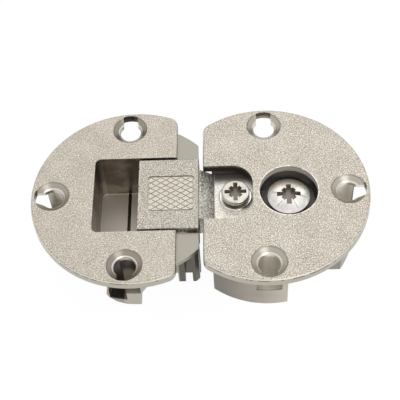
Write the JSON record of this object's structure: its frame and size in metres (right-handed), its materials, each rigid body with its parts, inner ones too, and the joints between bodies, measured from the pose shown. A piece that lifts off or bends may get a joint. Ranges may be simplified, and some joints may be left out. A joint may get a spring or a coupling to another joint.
{
  "type": "concealed folding table hinge",
  "caption": "Concealed flap hinge for round bores: a pivoting block arm joins two flush round cups, with a clamp screw and a cam screw for setting the gap.",
  "frame": {"origin": "on the seam between the two cups, on the middle line, at the level of the undersides", "axes": "+X across the seam towards the fixed leaf, Y along the fold axis, +Z out of the face plates"},
  "size_m": [0.0576, 0.035, 0.0116],
  "materials": {
    "cast_nickel": "nickel-plated die casting, sand-blasted faces",
    "bright_screw": "bright nickel plate",
    "plain_steel": "zinc-plated steel",
    "nylon": "natural nylon"
  },
  "bodies": {
    "fixed_leaf": {"fixed_cup": "cast_nickel", "guide_sheet": "plain_steel", "guide_rivets": "plain_steel", "clamp_screw": "bright_screw", "clamp_washer": "bright_screw", "clamp_nut": "plain_steel"},
    "arm": {"arm": "cast_nickel"},
    "moving_leaf": {"moving_cup": "cast_nickel", "fold_pin": "plain_steel", "pin_shims": "nylon"},
    "cam": {"cam_screw": "bright_screw", "cam_clip": "plain_steel"}
  },
  "joints": [
    {"name": "arm_adjust", "type": "slide", "parent": "fixed_leaf", "child": "arm", "axis": [1, 0, 0], "range_m": [-0.0012, 0.0004]},
    {"name": "cam_turn", "type": "hinge", "parent": "fixed_leaf", "child": "cam", "pos_m": [0.0151, 0, 0.0067], "axis": [0, 0, 1], "range_deg": [-202.6, 67.6]},
    {"name": "leaf_fold", "type": "hinge", "parent": "arm", "child": "moving_leaf", "pos_m": [-0.0031, 0, 0.0085], "axis": [0, 1, 0], "range_deg": [0, 90]}
  ],
  "couplings": [
    {"joint": "cam_turn", "follows": "arm_adjust", "rad_per_m": 2945.2}
  ]
}
